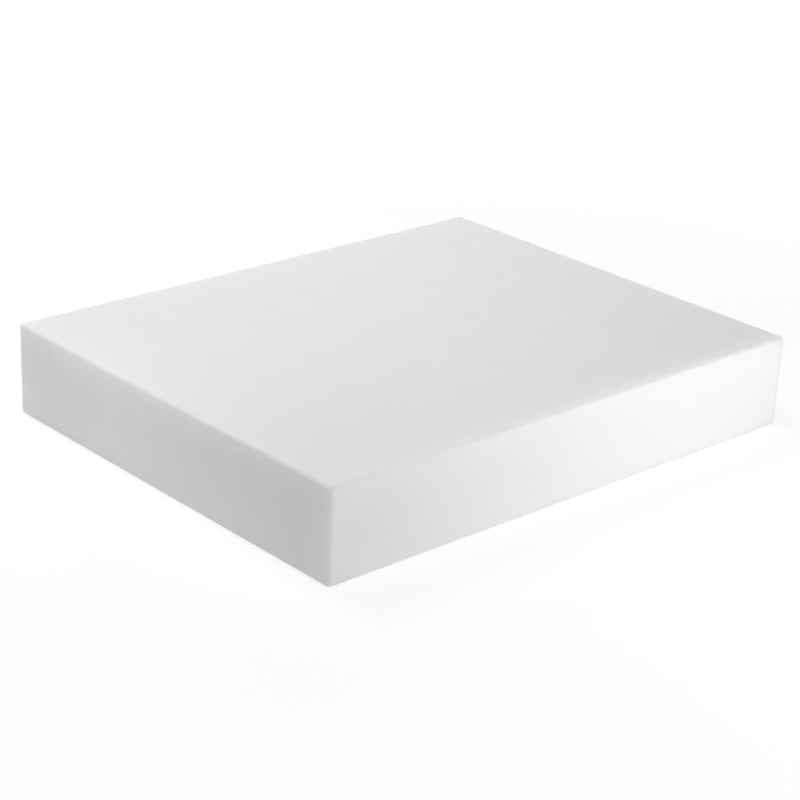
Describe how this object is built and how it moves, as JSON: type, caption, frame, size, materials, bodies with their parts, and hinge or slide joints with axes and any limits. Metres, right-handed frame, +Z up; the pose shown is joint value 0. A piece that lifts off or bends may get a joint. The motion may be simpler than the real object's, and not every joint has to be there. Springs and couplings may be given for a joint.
{
  "type": "cutting board",
  "caption": "Thick rectangular slab of white polyethylene with softly rounded edges, for cutting and portioning meat; reversible.",
  "frame": {"origin": "centre of the face that the board rests on", "axes": "+X along the length, +Y along the width towards the back, +Z up through the thickness to the working face"},
  "size_m": [0.5, 0.4, 0.08],
  "materials": {
    "polyethylene": "natural white high-density polyethylene, planed faces and milled edges, satin and slightly translucent"
  },
  "bodies": {
    "root": {"board": "polyethylene"}
  },
  "joints": []
}
